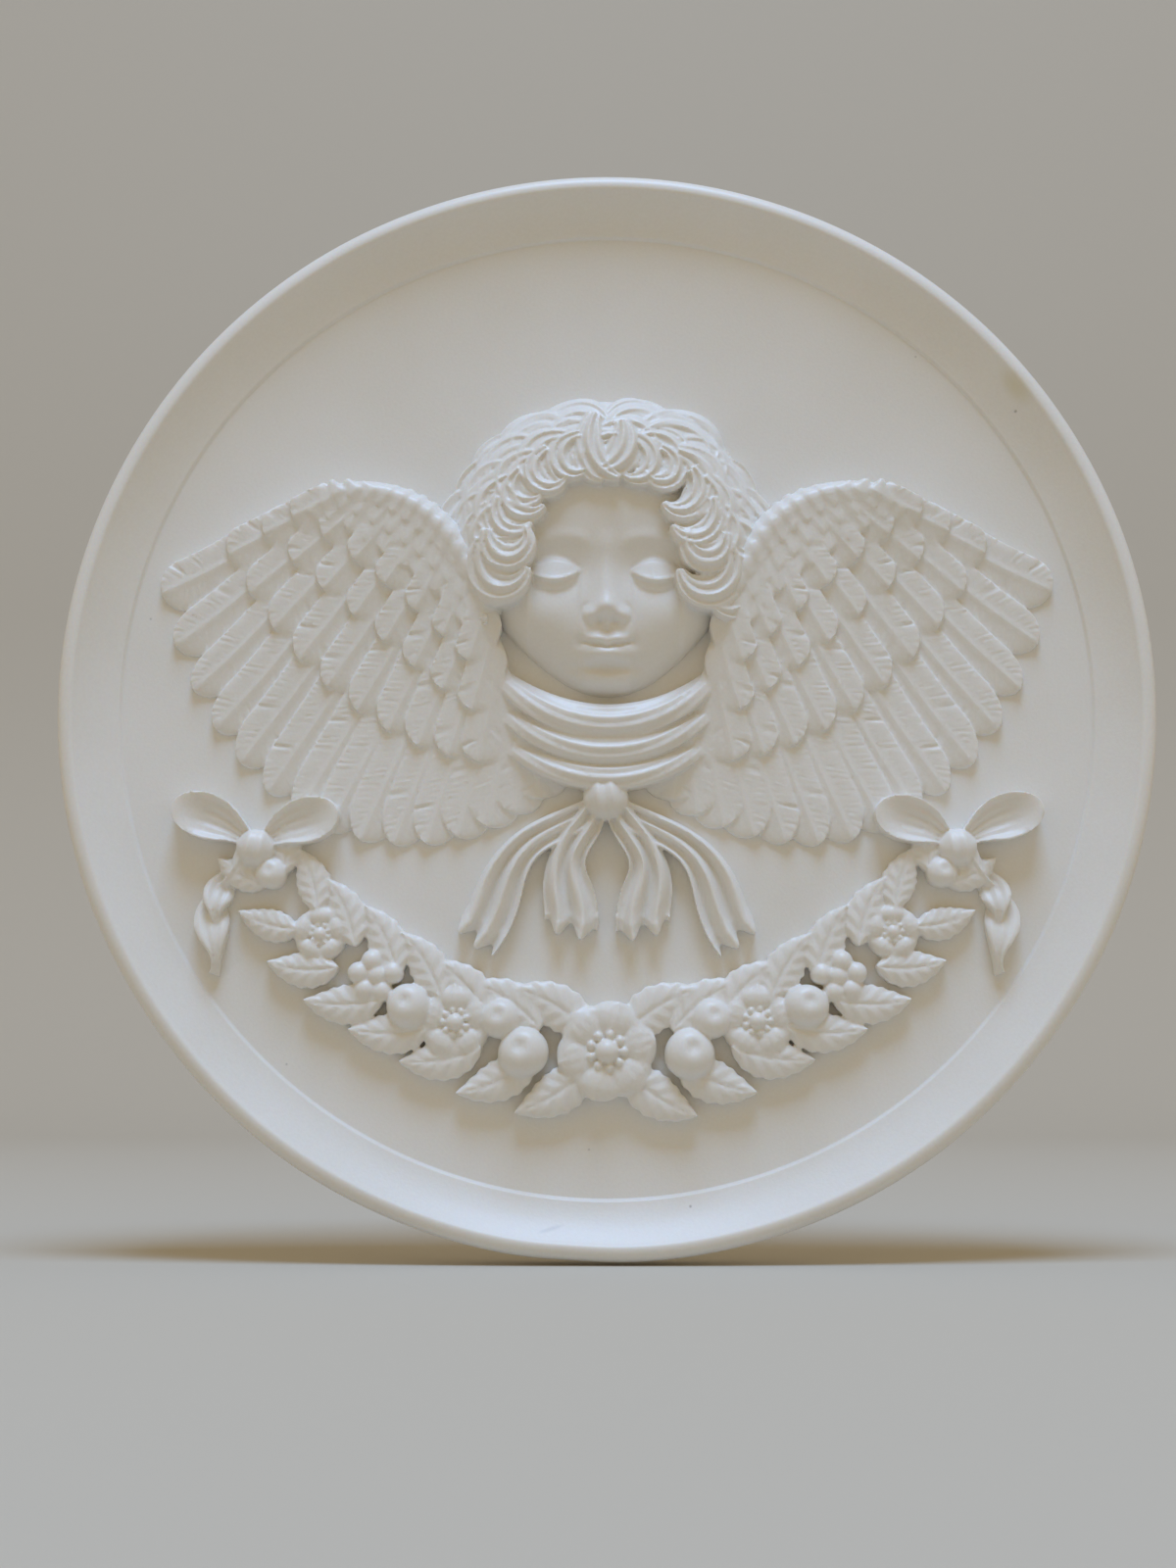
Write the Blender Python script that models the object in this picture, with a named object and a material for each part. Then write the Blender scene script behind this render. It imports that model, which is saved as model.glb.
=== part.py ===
"""Cherub wall plaque: a round roundel of white bisque porcelain, made to hang on a wall.

It is one casting. The front is a shallow dish: a flat field, a small step round it, a hollow cove and a
rounded lip. The back has a foot ring with two cord holes. The field carries a relief of a winged cherub's
head with a scarf, over a garland of leaves, fruit and blossom that hangs from two ribbon bows.

Everything is modelled lying down, in millimetres: X to the right, Y up the plaque, Z towards the viewer,
and Z = 0 on the field. The finished casting is then stood upright, in metres, with its face towards -Y.
"""

import math

import bmesh
import bpy
from mathutils import Matrix, Vector

MM = 0.001

# The dish, in millimetres.
PLAQUE_RADIUS = 72.5
FIELD_RADIUS = 64.4
STEP_HEIGHT = 0.45
STEP_WIDTH = 0.6
COVE_HEIGHT = 3.5
COVE_HOLLOW = 0.4
LIP_HEIGHT = 3.9
LIP_SHOULDER = 1.7
LIP_INSIDE = 0.7
BODY_THICKNESS = 5.0
DRAFT = 2.4
FOOT_RADIUS = 52.0
FOOT_WIDTH = 5.0
FOOT_HEIGHT = 3.4
CORD_HOLE_RADIUS = 1.0
CORD_HOLE_SPACING = 18.0
DISH_SEGMENTS = 64
COVE_STEPS = 3

# The relief, in millimetres on the field.
HEAD_CENTRE = Vector((0.0, 20.0))
HEAD_HALF_WIDTH = 15.4
HEAD_HALF_HEIGHT = 18.7
HEAD_DEPTH = 5.2
HAIR_HALF_WIDTH = 20.0
HAIR_HALF_HEIGHT = 21.8
HAIR_SWEEP = math.radians(106.0)
WING_ARM = [(10.0, -3.0), (15.0, 14.0), (21.0, 31.0), (36.0, 28.0)]
WING_EDGE = [(6.0, -11.0), (20.0, -23.0), (51.0, -23.0), (60.0, 15.0)]
BOW = Vector((46.0, -19.0))
GARLAND_LOW = -45.5

# Every raised shape runs down to this depth, inside the body, so that nothing floats or undercuts.
SINK = 1.2
RELIEF_VOXEL = 0.38
HEAD_TRIANGLES = 2900
ORNAMENT_TRIANGLES = 3750

BISQUE_WHITE = (0.83, 0.82, 0.80, 1.0)


def clear_scene():
    for thing in list(bpy.data.objects):
        bpy.data.objects.remove(thing, do_unlink=True)


def ease(low, high, x):
    """0 below low, 1 above high, and a smooth rise between."""
    t = min(max((x - low) / (high - low), 0.0), 1.0)
    return t * t * (3.0 - 2.0 * t)


def mound(x, y, at_x, at_y, wide, tall):
    """A soft round bump of height 1."""
    return math.exp(-0.5 * (((x - at_x) / wide) ** 2 + ((y - at_y) / tall) ** 2))


def bezier(corners, t):
    """A point on the cubic curve through the first and last corner."""
    a, b, c, d = (Vector(corner) for corner in corners)
    u = 1.0 - t
    return a * u**3 + b * (3 * u * u * t) + c * (3 * u * t * t) + d * t**3


def add(relief, piece, mirrored):
    """Puts a finished piece into the relief, with its mirror image across the middle if asked."""
    bmesh.ops.recalc_face_normals(piece, faces=piece.faces[:])
    mesh = bpy.data.meshes.new("piece")
    piece.to_mesh(mesh)
    relief.from_mesh(mesh)
    if mirrored:
        mesh.transform(Matrix.Scale(-1.0, 4, (1.0, 0.0, 0.0)))
        mesh.flip_normals()
        relief.from_mesh(mesh)
    bpy.data.meshes.remove(mesh)
    piece.free()


def foot(piece):
    """Closes an open sheet into a solid that stands in the body."""
    made = bmesh.ops.extrude_face_region(piece, geom=piece.faces[:])
    for item in made["geom"]:
        if isinstance(item, bmesh.types.BMVert):
            item.co.z = -SINK


def spine(root, heading, length, bend, coil, wave, stations):
    """Points and headings at the stations of a centreline that turns by bend and swings by wave."""

    def heading_at(s):
        return heading + bend * s**coil + wave * math.sin(2.0 * math.pi * s)

    points = [Vector(root)]
    for before, after in zip(stations, stations[1:]):
        angle = heading_at((before + after) / 2)
        points.append(points[-1] + Vector((math.cos(angle), math.sin(angle))) * (length * (after - before)))
    return points, [heading_at(s) for s in stations]


def blade(relief, root, heading, length, width, outline, height, bend=0.0, coil=1.0, wave=0.0,
          rows=7, columns=4, mirrored=True):
    """A feather, leaf, petal, lock, fold or ribbon: a sheet along a bent centreline, footed in the body.

    outline(s) is the share of the width at s along it, and height(s, t, place) the surface at t across it.
    The stations crowd towards the tip, so that a round tip stays round.
    """
    piece = bmesh.new()
    bmesh.ops.create_grid(piece, x_segments=rows, y_segments=columns, size=0.5)
    stations = [1.0 - (1.0 - row / rows) ** 1.7 for row in range(rows + 1)]
    points, headings = spine(root, heading, length, bend, coil, wave, stations)
    for vert in piece.verts:
        row = round((vert.co.x + 0.5) * rows)
        s, t = stations[row], 2.0 * vert.co.y
        across = Vector((-math.sin(headings[row]), math.cos(headings[row])))
        place = points[row] + across * (t * outline(s) * width / 2)
        vert.co = (place.x, place.y, height(s, t, place))
    foot(piece)
    add(relief, piece, mirrored)


def ball(relief, centre, radius, base, flat=1.0, mirrored=True):
    """A berry, fruit or knot: a dome above the height base, with its lower half drawn into the body."""
    piece = bmesh.new()
    bmesh.ops.create_icosphere(piece, subdivisions=2, radius=radius)
    for vert in piece.verts:
        low = vert.co.z < -0.01 * radius
        vert.co = (centre.x + vert.co.x, centre.y + vert.co.y, -SINK if low else base + vert.co.z * flat)
    add(relief, piece, mirrored)


def round_tip(s, start):
    """1 up to start, then a half-round end."""
    return math.sqrt(max(0.001, 1.0 - ((s - start) / (1.0 - start)) ** 2)) if s > start else 1.0


def feather_outline(s):
    return (0.35 + 0.65 * ease(0.0, 0.4, s)) * round_tip(s, 0.84)


def leaf_outline(s):
    return max(0.03, math.sin(math.pi * s**0.8)) ** 0.85


def petal_outline(s):
    return (0.25 + 0.75 * ease(0.0, 0.6, s)) * round_tip(s, 0.65)


def lock_outline(s):
    if s < 0.35:
        return 0.6 + 0.4 * ease(0.0, 0.35, s)
    return max(0.04, math.cos(math.pi / 2 * (s - 0.35) / 0.65)) ** 0.8


def ribbon_outline(s):
    return 0.62 + 0.38 * math.cos(2.0 * math.pi * 1.6 * s)


def fold_outline(s):
    return max(0.05, math.sin(math.pi * (0.08 + 0.84 * s))) ** 0.6


def cloth_outline(s):
    return 0.45 + 0.55 * s + 0.12 * math.sin(2.0 * math.pi * 2.5 * s)


def skull(x, y):
    """Height of the bare head over the field, and below it outside the head."""
    p, q = x - HEAD_CENTRE.x, y - HEAD_CENTRE.y
    jaw = 1.0 + 0.05 * mound(0.0, q, 0.0, -7.5, 1.0, 3.0) - 0.13 * ease(8.0, HEAD_HALF_HEIGHT, -q)
    reach = math.hypot(p / (HEAD_HALF_WIDTH * jaw), q / HEAD_HALF_HEIGHT)
    return HEAD_DEPTH * (1.0 - reach**2.6) ** 0.55 if reach < 1.0 else -SINK


def eye(p, q):
    """An eye's share of the face: a hollow, the ball in it and a lid line round the opening."""
    side = abs(p)
    hollow = -1.05 * mound(side, q, 5.0, -1.9, 2.9, 1.7)
    ball_share = 1.0 - ((side - 5.9) / 3.0) ** 2 - ((q + 2.3) / 2.2) ** 2
    opening = mound(side, q, 5.9, -2.35, 1.9, 0.75)
    return hollow + 1.15 * math.sqrt(max(0.0, ball_share)) - 0.3 * opening


def nose(p, q):
    """A short nose: a bridge that widens to a round tip, and a wing each side."""
    if not -10.5 < q < 3.0:
        return 0.0
    down = ease(1.5, 6.8, 1.5 - q)
    width = 0.9 + 0.35 * down
    ridge = (0.4 + 1.3 * down) * (1.0 - ease(6.3, 8.4, -q)) * math.exp(-0.5 * (p / width) ** 2)
    tip = 1.15 * mound(p, q, 0.0, -6.6, 1.2, 1.0)
    return ridge * ease(-3.0, -0.5, -q) + tip + 0.9 * mound(abs(p), q, 1.85, -7.0, 0.7, 0.7)


def mouth(p, q):
    """Closed lips on a low round swelling, a soft line between them and a small chin."""
    line = -11.1 + 0.02 * p * p
    lips = 0.55 * mound(abs(p), q, 1.2, -10.2, 1.3, 0.5) + 0.7 * mound(p, q, 0.0, -12.1, 1.6, 0.6)
    parting = 0.5 * math.exp(-0.5 * ((q - line) / 0.28) ** 2) * (1.0 - ease(2.8, 4.0, abs(p)))
    chin = 1.0 * mound(p, q, 0.0, -15.0, 2.7, 1.6) - 0.4 * mound(p, q, 0.0, -13.4, 2.4, 0.5)
    return 0.85 * mound(p, q, 0.0, -11.2, 4.2, 2.8) + lips - parting + chin


def face(x, y):
    """Height of the face: the skull with brow, eyes, nose, cheeks, mouth and chin carved on it.

    The features are laid out for a face 27.2 wide and drawn larger with the head.
    """
    larger = 2.0 * HEAD_HALF_WIDTH / 27.2
    p, q = (x - HEAD_CENTRE.x) / larger, (y - HEAD_CENTRE.y) / larger
    height = skull(x, y)
    if height <= 0.0:
        return height
    cheeks = 1.4 * mound(abs(p), q, 7.3, -7.6, 3.2, 3.3)
    brow = 0.3 * mound(abs(p), q, 5.2, 1.3, 3.2, 1.0) + 0.4 * mound(p, q, 0.0, 6.0, 7.0, 4.0)
    return height + eye(p, q) + nose(p, q) + mouth(p, q) + cheeks + brow


def add_head(relief):
    """The head as one sheet over a grid, raised to the face."""
    piece = bmesh.new()
    bmesh.ops.create_grid(piece, x_segments=58, y_segments=72, size=0.5)
    wide, tall = 2 * HEAD_HALF_WIDTH + 1.0, 2 * HEAD_HALF_HEIGHT + 1.0
    for vert in piece.verts:
        x, y = HEAD_CENTRE.x + vert.co.x * wide, HEAD_CENTRE.y + vert.co.y * tall
        vert.co = (x, y, max(face(x, y), 0.2 - SINK))
    foot(piece)
    add(relief, piece, mirrored=False)


def hair_ring(angle, share):
    """A place on the hair, at an angle from the crown: share 0 is the hairline, 1 the outer edge."""
    inner = Vector((13.6 * math.sin(angle), 12.2 * math.cos(angle)))
    outer = Vector((HAIR_HALF_WIDTH * math.sin(angle), HAIR_HALF_HEIGHT * math.cos(angle)))
    return HEAD_CENTRE + inner.lerp(outer, share)


def hair_mass(x, y):
    """Height of the hair under its locks."""
    p, q = x - HEAD_CENTRE.x, y - HEAD_CENTRE.y
    reach = math.hypot(p / (HAIR_HALF_WIDTH + 0.6), q / (HAIR_HALF_HEIGHT + 0.6))
    return 0.8 + (HEAD_DEPTH + 0.6) * max(0.0, 1.0 - reach**2.6) ** 0.55


def add_hair(relief):
    """A cap of hair round the face, and three rows of comma-shaped locks that fall from the crown."""
    piece = bmesh.new()
    bmesh.ops.create_grid(piece, x_segments=36, y_segments=6, size=0.5)
    for vert in piece.verts:
        angle, share = 2.0 * HAIR_SWEEP * vert.co.x, vert.co.y + 0.5
        place = hair_ring(angle, 0.04 + 0.88 * share)
        vert.co = (place.x, place.y, hair_mass(place.x, place.y))
    foot(piece)
    add(relief, piece, mirrored=False)
    rows = [
        (14, 0.42, 1.00, 11.5, 6.8, 64.0, -2.4, 0.0, 0.45),
        (12, 0.40, 0.96, 10.5, 6.0, 20.0, -2.0, 0.6, 0.4),
        (10, 0.34, 0.90, 8.0, 4.6, -12.0, -1.7, 1.0, 0.3),
    ]
    for count, share, sweep, length, width, turn_out, bend, lift, tilt in rows:
        for i in range(count):
            across = 2.0 * (i + 0.5) / count - 1.0
            side = 1.0 if across > 0 else -1.0
            angle = across * HAIR_SWEEP * sweep - side * 0.12

            def height(s, t, place, lift=lift, slope=side * tilt):
                strands = 0.2 * math.cos(2.0 * math.pi * 1.5 * t)
                return hair_mass(place.x, place.y) + lift + 1.1 * (1.0 - t * t) + slope * t + strands

            fall = math.radians(90.0 + side * (turn_out - 90.0)) - angle
            blade(relief, hair_ring(angle, share), fall, length, width, lock_outline, height,
                  bend=side * bend, coil=1.2, rows=12, columns=6, mirrored=False)


def wing_swell(share):
    """The wing is thickest along its arm and thins towards the feather tips."""
    return 0.9 + 1.3 * (1.0 - share) ** 1.5


def add_wing(relief):
    """Flight feathers from the arm of the wing to its edge, three shorter rows over them, and the arm."""
    rows = [
        (15, 0.05, 0.12, 1.00, 6.6, 0.0),
        (10, 0.24, 0.08, 0.62, 6.2, 0.75),
        (8, 0.29, 0.04, 0.41, 5.6, 1.4),
        (7, 0.34, -0.02, 0.24, 5.0, 2.0),
    ]
    for count, first, near, far, width, lift in rows:
        for i in range(count):
            along = first + (1.0 - first) * i / (count - 1)
            arm, edge = bezier(WING_ARM, along), bezier(WING_EDGE, along)
            root, tip = arm.lerp(edge, near), arm.lerp(edge, far)
            reach = tip - root

            def height(s, t, place, near=near, far=far, lift=lift):
                share = near + (far - near) * s
                quill = 0.25 * math.exp(-((t / 0.2) ** 2))
                bedded = (0.7 + 0.8 * lift) * (1.0 - ease(0.0, 0.25, s))
                return wing_swell(share) + lift + 0.2 * (1.0 - t * t) + 0.38 * t + quill - 0.2 * s - bedded

            bend = 0.25
            blade(relief, root, math.atan2(reach.y, reach.x) - bend / 2, reach.length, width,
                  feather_outline, height, bend=bend)
    for i in range(24):
        along = 0.34 + 0.66 * i / 23
        ball(relief, bezier(WING_ARM, along), 2.6 - 0.8 * along, 2.2, flat=0.9)


def add_scarf(relief):
    """A cloth knotted under the chin: three hanging folds, a knot and two long ends."""
    for i in range(3):
        bend, length, low = 1.9 - 0.2 * i, 36.0 - 2.5 * i, -2.4 - 3.6 * i
        radius = length / bend
        start = (-radius * math.sin(bend / 2), low + radius * (1.0 - math.cos(bend / 2)))

        def height(s, t, place, drop=i):
            sag = math.sin(math.pi * s) ** 0.7
            return 1.3 - 0.3 * drop + 2.3 * sag + 1.2 * (1.0 - t * t) - 0.45 * t

        blade(relief, start, -bend / 2, length, 4.6 - 0.3 * i, fold_outline, height, bend=bend, rows=14,
              mirrored=False)
    ball(relief, Vector((0.0, -12.5)), 2.9, 2.0, flat=0.85, mirrored=False)
    for heading, length, width, lift in ((-48.0, 25.0, 7.0, 0.0), (-78.0, 18.0, 7.5, 0.5)):

        def height(s, t, place, lift=lift):
            return 1.9 + lift + 0.7 * math.cos(2.0 * math.pi * (0.9 * t + 0.35 * s)) - 0.4 * s

        blade(relief, (1.2, -13.0), math.radians(heading), length, width, cloth_outline, height,
              wave=0.4, rows=14, columns=8)


def garland_point(angle, outward=0.0):
    """A point on the garland's hanging line, at an angle from its lowest point, moved outward."""
    drop = BOW.y - GARLAND_LOW
    radius = (BOW.x**2 + drop**2) / (2.0 * drop)
    centre = Vector((0.0, GARLAND_LOW + radius))
    return centre + Vector((math.sin(angle), -math.cos(angle))) * (radius + outward)


def garland_end():
    """The angle at which the garland's line reaches the bow."""
    drop = BOW.y - GARLAND_LOW
    radius = (BOW.x**2 + drop**2) / (2.0 * drop)
    return math.asin(BOW.x / radius)


def blossom(relief, centre, radius, base, petals, mirrored=True):
    """An open flower: rounded petals round a button."""
    for i in range(petals):

        def height(s, t, place):
            return base + 0.9 * ease(0.1, 0.6, s) - 0.5 * ease(0.7, 1.0, s) - 0.9 * t * t

        width = 1.95 * radius * math.sin(math.pi / petals)
        blade(relief, centre, 2.0 * math.pi * (i + 0.25) / petals, radius, width, petal_outline, height,
              rows=6, mirrored=mirrored)
    ball(relief, centre, 0.27 * radius, base + 0.2, mirrored=mirrored)


def add_garland(relief):
    """Leaves along both sides of the line, pointing up it to each bow, and fruit and blossom between."""
    end = garland_end()
    stations = 8
    for i in range(stations):
        share = (i + 0.3) / stations
        angle = end * share
        size = 1.0 - 0.4 * share
        for side in (-1.0, 1.0):
            root = garland_point(angle, side * 2.2 * size)

            def height(s, t, place, size=size):
                rib = 0.3 * math.exp(-((t / 0.25) ** 2))
                return (1.5 * size + 0.9) - 0.5 * s + 0.6 * (1.0 - t * t) - rib

            blade(relief, root, angle - side * 0.8, 12.5 * size, 6.2 * size, leaf_outline, height,
                  bend=side * 0.55, rows=8)
    fruits = [(0.20, 1.4, 3.3), (0.275, -2.2, 2.6), (0.50, 0.8, 2.9), (0.95, 0.0, 1.5)]
    for along, outward, radius in fruits:
        ball(relief, garland_point(along, outward), radius, 1.4 + 0.25 * radius, flat=0.8)
    grapes = [(0.575, -1.8), (0.575, 1.0), (0.605, -0.4), (0.61, 2.0), (0.635, -1.6), (0.645, 0.7)]
    for along, outward in grapes:
        ball(relief, garland_point(along, outward), 1.45, 1.8)
    blossom(relief, garland_point(0.0), 6.6, 2.6, 6, mirrored=False)
    blossom(relief, garland_point(0.38), 4.8, 2.2, 5)
    blossom(relief, garland_point(0.78), 3.6, 1.8, 5)


def add_bow(relief):
    """A ribbon bow where the garland hangs: two loops, a knot and two fluttering ends."""

    def loop_height(s, t, place):
        rim = 1.0 - (1.0 - t * t) * (1.0 - ease(0.6, 1.0, s))
        return 1.8 + 0.3 * s + 1.4 * rim * ease(0.05, 0.4, s)

    def tail_height(s, t, place):
        return 1.5 + 0.7 * math.sin(2.0 * math.pi * 1.6 * s) + 0.3 * t

    for heading, length, droop in ((46.0, 12.5, -0.8), (136.0, 12.0, 0.8)):
        blade(relief, BOW, math.radians(heading), length, 6.0, petal_outline, loop_height, bend=droop,
              rows=9, columns=6)
    blade(relief, BOW, math.radians(-72.0), 18.5, 4.6, ribbon_outline, tail_height, wave=0.5, rows=14)
    blade(relief, BOW, math.radians(-28.0), 12.5, 4.0, ribbon_outline, tail_height, bend=-1.3, rows=12)
    ball(relief, BOW, 2.5, 1.6, flat=0.9)


def finished(thing):
    """The mesh of an object with its modifiers worked in."""
    bpy.context.view_layer.update()
    graph = bpy.context.evaluated_depsgraph_get()
    return bpy.data.meshes.new_from_object(thing.evaluated_get(graph), depsgraph=graph)


def fuse(name, builders, triangles):
    """Some of the relief's pieces fused into one skin, thinned out where the form is plain."""
    relief = bmesh.new()
    for builder in builders:
        builder(relief)
    mesh = bpy.data.meshes.new(name)
    relief.to_mesh(mesh)
    relief.free()
    thing = bpy.data.objects.new(name, mesh)
    bpy.context.scene.collection.objects.link(thing)
    skin = thing.modifiers.new("skin", "REMESH")
    skin.mode = "VOXEL"
    skin.voxel_size = RELIEF_VOXEL
    fused = finished(thing)
    fused_triangles = sum(len(polygon.vertices) - 2 for polygon in fused.polygons)
    bpy.data.meshes.remove(fused)
    thin = thing.modifiers.new("thin", "DECIMATE")
    thin.ratio = triangles / fused_triangles
    thing.hide_render = True
    thing.display_type = "WIRE"
    return thing


def dish_profile():
    """Half of the dish's section, from the middle of the field out over the lip and back along the rear.

    The lip's crest lies inside the edge, and its outer side falls away as a quarter round.
    """
    crest = PLAQUE_RADIUS - LIP_SHOULDER
    cove_start, cove_end = FIELD_RADIUS + STEP_WIDTH, crest - LIP_INSIDE
    section = [(0.0, 0.0), (FIELD_RADIUS, 0.0), (cove_start, STEP_HEIGHT)]
    for i in range(1, COVE_STEPS + 1):
        share = i / COVE_STEPS
        rise = share * (1.0 + COVE_HOLLOW * (share - 1.0))
        section.append((cove_start + (cove_end - cove_start) * share,
                        STEP_HEIGHT + (COVE_HEIGHT - STEP_HEIGHT) * rise))
    for degrees in (90.0, 60.0, 30.0, 0.0):
        turn = math.radians(degrees)
        section.append((crest + LIP_SHOULDER * math.cos(turn),
                        LIP_HEIGHT + LIP_SHOULDER * (math.sin(turn) - 1.0)))
    foot_face = -BODY_THICKNESS - FOOT_HEIGHT
    outer, inner = FOOT_RADIUS + FOOT_WIDTH / 2, FOOT_RADIUS - FOOT_WIDTH / 2
    section += [
        (PLAQUE_RADIUS - DRAFT * 0.7, 1.0 - BODY_THICKNESS),
        (PLAQUE_RADIUS - DRAFT - 1.2, -BODY_THICKNESS),
        (outer + 0.8, -BODY_THICKNESS),
        (outer, foot_face),
        (inner, foot_face),
        (inner - 0.8, -BODY_THICKNESS),
        (0.0, -BODY_THICKNESS),
    ]
    return section


def make_dish():
    """The section turned round the plaque's axis."""
    dish = bmesh.new()
    verts = [dish.verts.new((r, 0.0, z)) for r, z in dish_profile()]
    edges = [dish.edges.new(pair) for pair in zip(verts, verts[1:])]
    bmesh.ops.spin(dish, geom=verts + edges, cent=(0, 0, 0), axis=(0, 0, 1), angle=2 * math.pi,
                   steps=DISH_SEGMENTS, use_merge=True)
    bmesh.ops.remove_doubles(dish, verts=dish.verts[:], dist=0.001)
    bmesh.ops.recalc_face_normals(dish, faces=dish.faces[:])
    mesh = bpy.data.meshes.new("plaque")
    dish.to_mesh(mesh)
    dish.free()
    thing = bpy.data.objects.new("plaque", mesh)
    bpy.context.scene.collection.objects.link(thing)
    return thing


def make_cord_holes():
    """Two round cutters through the top of the foot ring, for the hanging cord."""
    holes = bmesh.new()
    depth = -BODY_THICKNESS - FOOT_HEIGHT / 2
    upright = Matrix.Rotation(math.pi / 2, 4, "X")
    for side in (-1.0, 1.0):
        place = Matrix.Translation((side * CORD_HOLE_SPACING / 2, FOOT_RADIUS, depth))
        bmesh.ops.create_cone(holes, cap_ends=True, segments=12, radius1=CORD_HOLE_RADIUS,
                              radius2=CORD_HOLE_RADIUS, depth=3 * FOOT_WIDTH, matrix=place @ upright)
    mesh = bpy.data.meshes.new("cord_holes")
    holes.to_mesh(mesh)
    holes.free()
    thing = bpy.data.objects.new("cord_holes", mesh)
    bpy.context.scene.collection.objects.link(thing)
    thing.hide_render = True
    thing.display_type = "WIRE"
    return thing


def bisque():
    material = bpy.data.materials.new("bisque_porcelain")
    material.use_nodes = True
    shader = material.node_tree.nodes["Principled BSDF"]
    shader.inputs["Base Color"].default_value = BISQUE_WHITE
    shader.inputs["Roughness"].default_value = 0.62
    shader.inputs["Metallic"].default_value = 0.0
    return material


def stand_up(mesh):
    """Turns the casting upright and to metres, with the foot ring's top at the origin and its face to -Y."""
    hang_point = Vector((0.0, FOOT_RADIUS, -BODY_THICKNESS - FOOT_HEIGHT))
    upright = Matrix.Rotation(math.pi / 2, 4, "X")
    mesh.transform(upright @ Matrix.Scale(MM, 4) @ Matrix.Translation(-hang_point))


def main():
    clear_scene()
    plaque = make_dish()
    helpers = [
        fuse("ornament", (add_wing, add_scarf, add_garland, add_bow), ORNAMENT_TRIANGLES),
        fuse("head", (add_head, add_hair), HEAD_TRIANGLES),
        make_cord_holes(),
    ]
    for helper, operation in zip(helpers, ("UNION", "UNION", "DIFFERENCE")):
        step = plaque.modifiers.new(helper.name, "BOOLEAN")
        step.operation = operation
        step.object = helper
    mesh = finished(plaque)
    plaque.modifiers.clear()
    stand_up(mesh)
    plaque.data = mesh
    mesh.materials.clear()
    mesh.materials.append(bisque())
    mesh.shade_smooth()
    mesh.set_sharp_from_angle(angle=math.radians(35))
    for helper in helpers:
        bpy.data.objects.remove(helper)


main()
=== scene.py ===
# %% [markdown]
# # A cherub wall plaque in bisque porcelain
# The real object is a roundel about as wide as a hand: one casting of white porcelain, fired without
# glaze, with a low relief on a flat field, a hollow cove and a rounded lip round it, and a foot ring
# behind with two holes for a cord. We load the measured solid first. It fixes the size and the place
# of everything, and the finely modelled casting below takes its place piece for piece.

# %% Load the frame
import math

import bmesh
import bpy
from mathutils import Matrix, Vector, noise


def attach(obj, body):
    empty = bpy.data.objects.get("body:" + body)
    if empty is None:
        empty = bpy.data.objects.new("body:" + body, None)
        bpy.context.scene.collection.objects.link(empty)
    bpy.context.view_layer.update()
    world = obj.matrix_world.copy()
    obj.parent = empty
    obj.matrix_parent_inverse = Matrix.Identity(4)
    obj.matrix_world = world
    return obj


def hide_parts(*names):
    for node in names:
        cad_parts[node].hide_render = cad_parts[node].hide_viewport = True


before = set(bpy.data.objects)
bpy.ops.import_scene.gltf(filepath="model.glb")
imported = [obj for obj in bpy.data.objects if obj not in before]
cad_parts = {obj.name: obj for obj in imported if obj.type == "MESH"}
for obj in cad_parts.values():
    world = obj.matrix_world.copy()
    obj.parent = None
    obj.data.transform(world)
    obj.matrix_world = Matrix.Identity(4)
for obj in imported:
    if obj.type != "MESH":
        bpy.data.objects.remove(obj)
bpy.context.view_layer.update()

# %% [markdown]
# ## Sizes
# A sculptor models a roundel lying on the bench, in millimetres: X to the right, Y up the plaque, and
# Z = 0 on the field, so every height is a height of relief. These are the sizes of the solid. The last
# ones say how fine the modelling is, and how deep each shape is bedded in the body.

# %% Sizes of the roundel and its relief
MM = 0.001
PLAQUE_RADIUS = 72.5
FIELD_RADIUS = 64.4
STEP_HEIGHT = 0.45
STEP_WIDTH = 0.6
COVE_HEIGHT = 3.5
COVE_HOLLOW = 0.4
LIP_HEIGHT = 3.9
LIP_SHOULDER = 1.7
LIP_INSIDE = 0.7
BODY_THICKNESS = 5.0
DRAFT = 2.4
FOOT_RADIUS = 52.0
FOOT_WIDTH = 5.0
FOOT_HEIGHT = 3.4
CORD_HOLE_RADIUS = 1.0
CORD_HOLE_SPACING = 18.0
HEAD_CENTRE = Vector((0.0, 20.0))
HEAD_HALF_WIDTH = 15.4
HEAD_HALF_HEIGHT = 18.7
HEAD_DEPTH = 5.2
HAIR_HALF_WIDTH = 20.0
HAIR_HALF_HEIGHT = 21.8
HAIR_SWEEP = math.radians(106.0)
WING_ARM = [(10.0, -3.0), (15.0, 14.0), (21.0, 31.0), (36.0, 28.0)]
WING_EDGE = [(6.0, -11.0), (20.0, -23.0), (51.0, -23.0), (60.0, 15.0)]
BOW = Vector((46.0, -19.0))
GARLAND_LOW = -45.5
SINK = 1.2
CLAY_GRAIN = 0.18
HEAD_TRIANGLES = 72000
ORNAMENT_TRIANGLES = 110000
print("plaque", 2 * PLAQUE_RADIUS, "mm across")

# %% [markdown]
# ## Curves for a modelling tool
# Nearly all soft forms come from three shapes. `ease` is a smooth step from 0 to 1, `mound` is a round
# bump that dies away, and `line` is a thin ridge. Adding them is like adding clay, and subtracting them is
# like pressing with a thumb or a wire. No two feathers made by hand are quite alike, so `by_hand` gives
# each a small unevenness of its own, the same one each time the script runs.

# %% Curves
def ease(low, high, x):
    t = min(max((x - low) / (high - low), 0.0), 1.0)
    return t * t * (3.0 - 2.0 * t)


def mound(x, y, at_x, at_y, wide, tall):
    return math.exp(-0.5 * (((x - at_x) / wide) ** 2 + ((y - at_y) / tall) ** 2))


def line(distance, width):
    return math.exp(-((distance / width) ** 2))


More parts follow.
